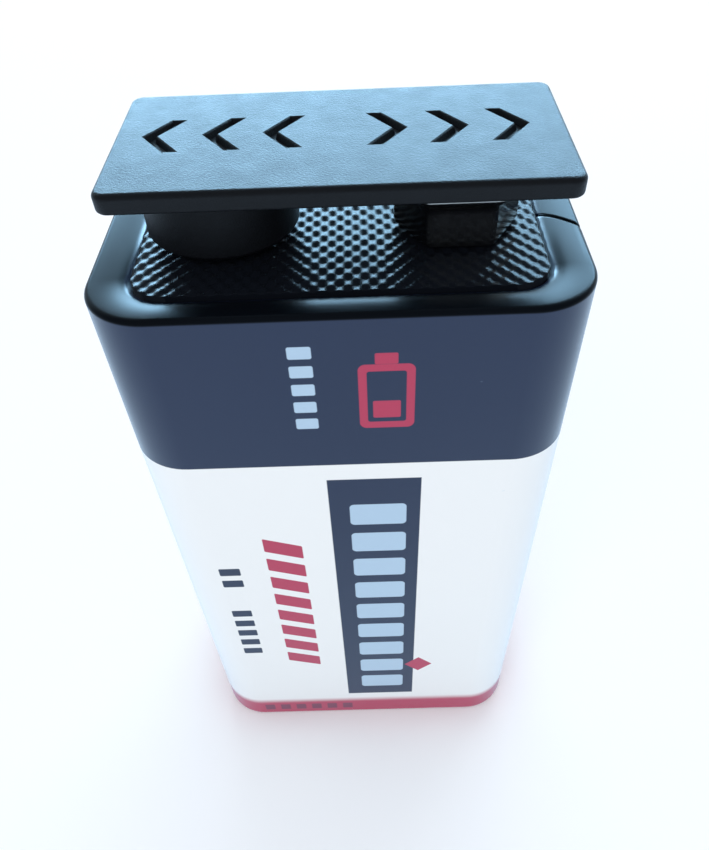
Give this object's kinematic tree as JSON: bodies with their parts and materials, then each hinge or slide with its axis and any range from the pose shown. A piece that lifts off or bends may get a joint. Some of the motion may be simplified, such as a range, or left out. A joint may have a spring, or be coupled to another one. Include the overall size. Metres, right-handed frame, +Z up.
{
  "type": "nine volt block battery with terminal cap",
  "caption": "Rectangular nine volt block battery with snap contacts on a diamond-patterned plate and a push-on protective cap.",
  "frame": {"origin": "middle of the base, on the surface that the battery stands on", "axes": "+Z up from the base to the terminals, X along the width with the positive stud at -X, Y along the depth with the printed face looking along -Y"},
  "size_m": [0.0262, 0.0172, 0.049],
  "materials": {
    "jacket": "printed and lacquered tinplate, black band, white body, red foot stripe",
    "plate": "moulded black plastic with a fine grid of raised diamonds",
    "contact": "nickel-plated drawn steel",
    "strip": "bare nickel strip",
    "card": "grey pressed card",
    "sleeve": "white insulating paper",
    "cell": "nickel-plated steel can",
    "base": "black board",
    "cap": "black moulded plastic with a fine spark-eroded texture"
  },
  "bodies": {
    "battery": {"jacket": "jacket", "terminal_plate": "plate", "positive_stud": "contact", "negative_socket": "contact", "positive_rivet": "contact", "negative_rivet": "contact", "positive_lead": "strip", "negative_lead": "strip", "upper_strap_1": "strip", "upper_strap_2": "strip", "lower_strap_1": "strip", "lower_strap_2": "strip", "lower_strap_3": "strip", "upper_insulator": "card", "lower_insulator": "card", "cell_sleeve": "sleeve", "cell_1": "cell", "cell_2": "cell", "cell_3": "cell", "cell_4": "cell", "cell_5": "cell", "cell_6": "cell", "base_plate": "base"},
    "cap": {"terminal_cap": "cap"}
  },
  "joints": [
    {"name": "cap_lift", "type": "slide", "parent": "battery", "child": "cap", "axis": [0, 0, 1], "range_m": [0, 0.003]}
  ]
}
